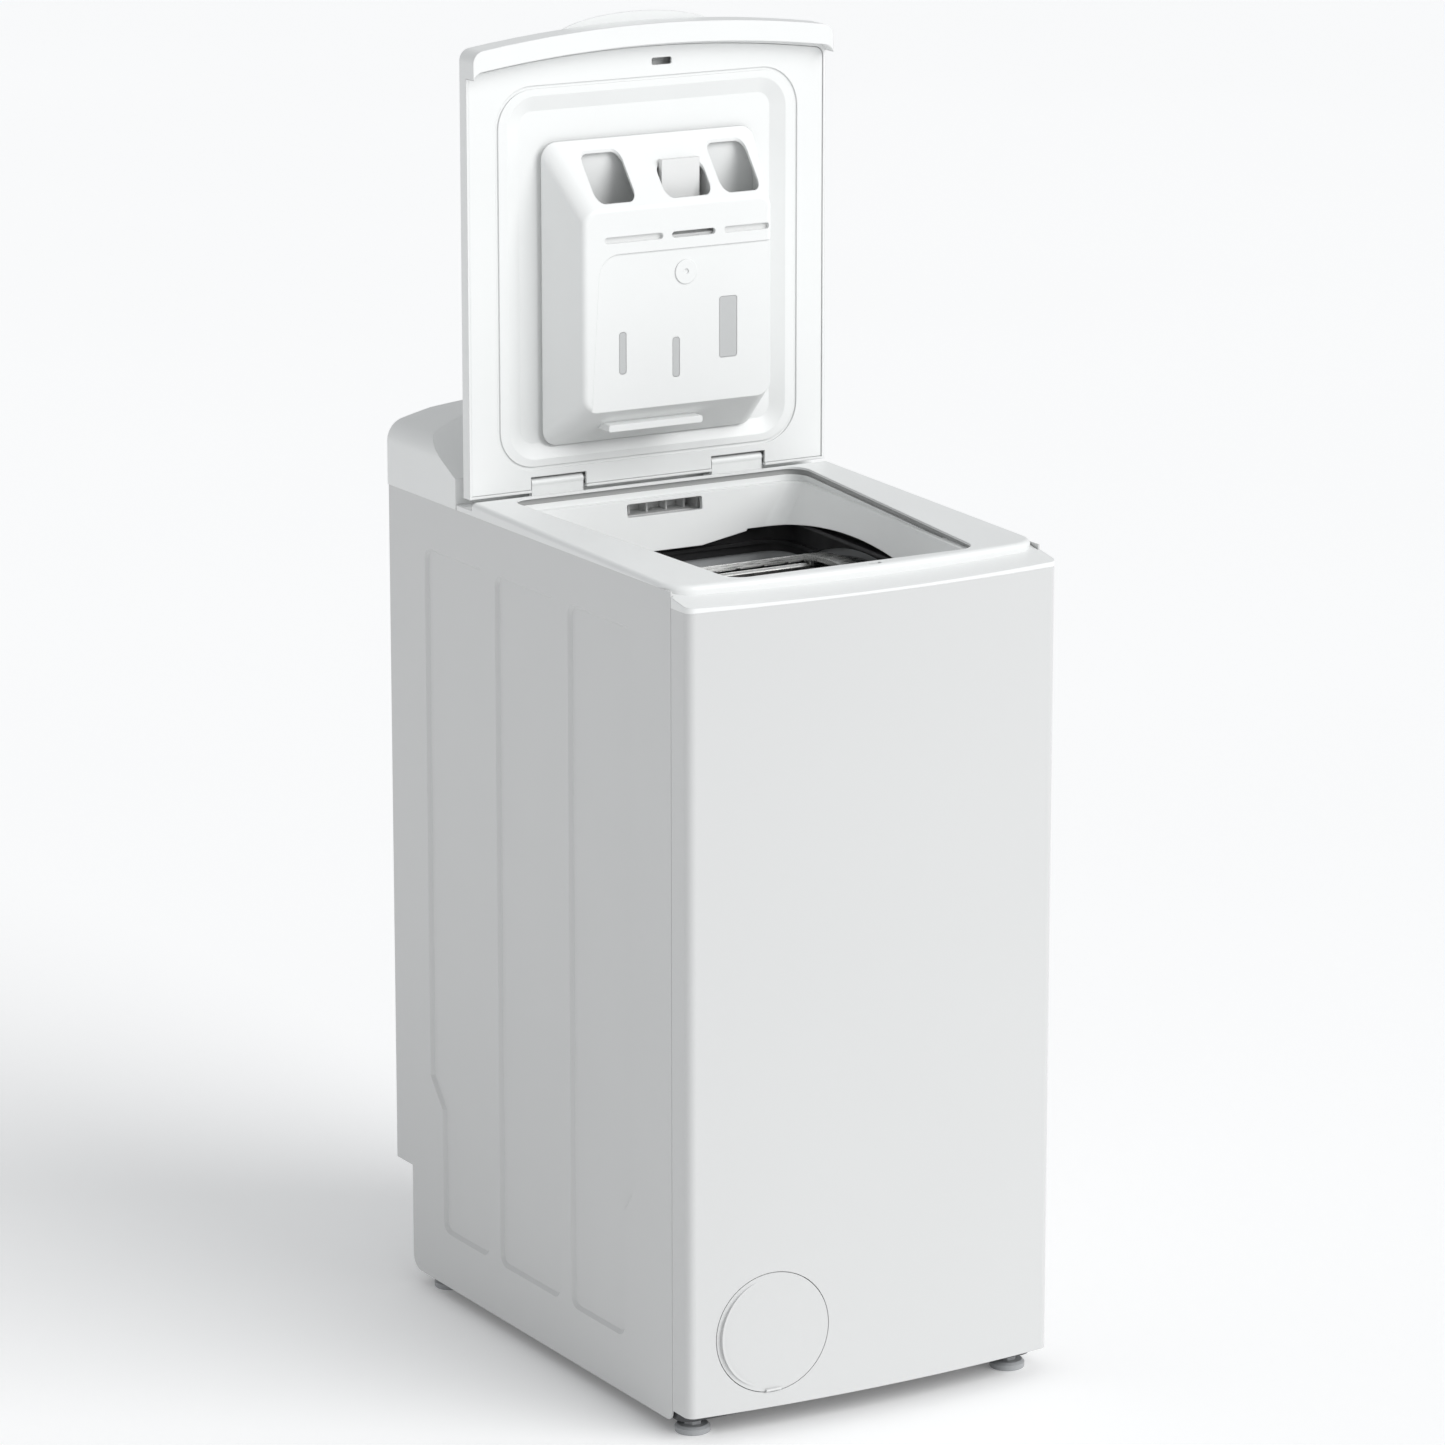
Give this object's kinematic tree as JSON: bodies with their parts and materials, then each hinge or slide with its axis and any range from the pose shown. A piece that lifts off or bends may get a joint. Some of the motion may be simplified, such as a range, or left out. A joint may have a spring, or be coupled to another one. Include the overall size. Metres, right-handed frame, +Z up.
{
  "type": "top load washing machine",
  "caption": "Slim top load washing machine with a hinged lid, a detergent dispenser in the lid and a side-axis drum reached through a sprung hatch under a rubber bellows.",
  "frame": {"origin": "middle of the footprint, on the floor under the feet", "axes": "+X to the right seen from the front, +Y to the rear, +Z up"},
  "size_m": [0.4, 0.6, 1.282],
  "materials": {
    "enamel_white": "white stoved enamel, satin",
    "plastic_white": "white moulded plastic, satin gloss",
    "plastic_white_matte": "white moulded plastic, fine grain",
    "plastic_grey": "mid grey moulded plastic",
    "plastic_dark": "near-black moulded plastic",
    "board_green": "solder-masked circuit board",
    "window_dark": "smoked clear window",
    "rubber_black": "black moulded rubber",
    "hose_grey": "grey hose",
    "steel_drum": "stainless sheet, fine brushed",
    "steel_zinc": "zinc plated steel",
    "steel_galvanised": "galvanised sheet",
    "frame_dark": "dark powder coat",
    "cast_aluminium": "die-cast aluminium",
    "tub_plastic": "filled light grey polypropylene",
    "concrete": "cast concrete",
    "brass_inlet": "white nylon valve"
  },
  "bodies": {
    "cabinet": {"front_panel": "enamel_white", "side_panel_left": "enamel_white", "side_panel_right": "enamel_white", "rear_panel": "steel_galvanised", "rear_service_cover": "steel_galvanised", "rear_screws": "steel_zinc", "base_frame": "frame_dark", "feet_rear": "plastic_grey", "top_frame": "plastic_white", "loading_funnel": "plastic_white", "nozzle_duct": "plastic_white_matte", "console_housing": "plastic_white", "console_fascia": "plastic_white_matte", "display_window": "window_dark", "control_board": "board_green", "hinge_brackets": "plastic_white", "door_lock": "plastic_dark", "tub_left": "tub_plastic", "tub_right": "tub_plastic", "bellows": "rubber_black", "bearings": "steel_zinc", "drive_belt": "rubber_black", "motor_housing": "frame_dark", "counterweights": "concrete", "suspension_springs": "steel_zinc", "spring_brackets": "steel_galvanised", "dampers": "plastic_dark", "heater": "steel_zinc", "filter_housing": "plastic_grey", "drain_pump": "plastic_dark", "drain_port": "plastic_grey", "drain_hoses": "rubber_black", "inlet_valve": "brass_inlet", "inlet_hose": "hose_grey", "cable_gland": "plastic_dark"},
    "lid": {"lid_outer": "plastic_white", "lid_inner": "plastic_white", "hinge_pins": "plastic_white"},
    "dispenser": {"dispenser_body": "plastic_white", "siphon_insert": "plastic_white_matte"},
    "drum": {"drum_shell": "steel_drum", "drum_ends": "steel_drum", "drum_shafts": "steel_zinc", "lifters": "plastic_grey", "hatch_frame": "steel_drum", "drum_pulley": "cast_aluminium"},
    "hatch_front": {"hatch_flap_front": "steel_drum"},
    "hatch_rear": {"hatch_flap_rear": "steel_drum"},
    "catch": {"hatch_catch": "plastic_grey"},
    "motor": {"motor_rotor": "steel_zinc"},
    "pump": {"pump_impeller": "plastic_grey"},
    "cover": {"filter_cover": "enamel_white"},
    "plug": {"filter_plug": "plastic_dark"},
    "knob": {"programme_knob": "plastic_white"},
    "start": {"start_button": "plastic_grey"},
    "option_one": {"option_button_1": "plastic_grey"},
    "option_two": {"option_button_2": "plastic_grey"},
    "bolt": {"lock_bolt": "plastic_dark"},
    "foot_left": {"foot_front_left": "plastic_grey"},
    "foot_right": {"foot_front_right": "plastic_grey"}
  },
  "joints": [
    {"name": "lid_hinge", "type": "hinge", "parent": "cabinet", "child": "lid", "pos_m": [0, 0.138, 0.834], "axis": [1, 0, 0], "range_deg": [0, 90]},
    {"name": "dispenser_release", "type": "slide", "parent": "lid", "child": "dispenser", "axis": [0, 0, 1], "range_m": [0, 0.015]},
    {"name": "drum_spin", "type": "hinge", "parent": "cabinet", "child": "drum", "pos_m": [0, -0.03, 0.535], "axis": [1, 0, 0], "continuous": true},
    {"name": "motor_spin", "type": "hinge", "parent": "cabinet", "child": "motor", "pos_m": [0, 0.12, 0.205], "axis": [1, 0, 0], "continuous": true},
    {"name": "hatch_front_hinge", "type": "hinge", "parent": "drum", "child": "hatch_front", "pos_m": [0, -0.13742, 0.72642], "axis": [1, 0, 0], "range_deg": [0, 100]},
    {"name": "hatch_rear_hinge", "type": "hinge", "parent": "drum", "child": "hatch_rear", "pos_m": [0, 0.00547, 0.75162], "axis": [-1, 0, 0], "range_deg": [0, 100]},
    {"name": "catch_slide", "type": "slide", "parent": "hatch_front", "child": "catch", "axis": [0, -0.0525, 0.9986], "range_m": [0, 0.003], "stiffness_N_per_m": 300},
    {"name": "pump_spin", "type": "hinge", "parent": "cabinet", "child": "pump", "pos_m": [-0.113, -0.12, 0.099], "axis": [0, 1, 0], "continuous": true},
    {"name": "cover_hinge", "type": "hinge", "parent": "cabinet", "child": "cover", "pos_m": [-0.113, -0.2969, 0.0423], "axis": [1, 0, 0], "range_deg": [0, 80]},
    {"name": "plug_turn", "type": "hinge", "parent": "cabinet", "child": "plug", "pos_m": [-0.113, -0.24, 0.099], "axis": [0, 1, 0], "range_deg": [0, 180]},
    {"name": "knob_turn", "type": "hinge", "parent": "cabinet", "child": "knob", "pos_m": [0.092, 0.21191, 0.86982], "axis": [0, -0.4488, 0.8937], "continuous": true},
    {"name": "start_press", "type": "slide", "parent": "cabinet", "child": "start", "axis": [0, 0.4488, -0.8937], "range_m": [0, 0.0015], "stiffness_N_per_m": 600},
    {"name": "option_one_press", "type": "slide", "parent": "cabinet", "child": "option_one", "axis": [0, 0.4488, -0.8937], "range_m": [0, 0.0015], "stiffness_N_per_m": 600},
    {"name": "option_two_press", "type": "slide", "parent": "cabinet", "child": "option_two", "axis": [0, 0.4488, -0.8937], "range_m": [0, 0.0015], "stiffness_N_per_m": 600},
    {"name": "bolt_slide", "type": "slide", "parent": "cabinet", "child": "bolt", "axis": [0, 0, 1], "range_m": [0, 0.015]},
    {"name": "foot_left_turn", "type": "hinge", "parent": "cabinet", "child": "foot_left", "pos_m": [-0.176, -0.254, 0.006], "axis": [0, 0, 1], "range_deg": [0, 2160]},
    {"name": "foot_right_turn", "type": "hinge", "parent": "cabinet", "child": "foot_right", "pos_m": [0.176, -0.254, 0.006], "axis": [0, 0, 1], "range_deg": [0, 2160]}
  ],
  "couplings": [
    {"joint": "motor_spin", "follows": "drum_spin", "ratio": 12.727}
  ]
}
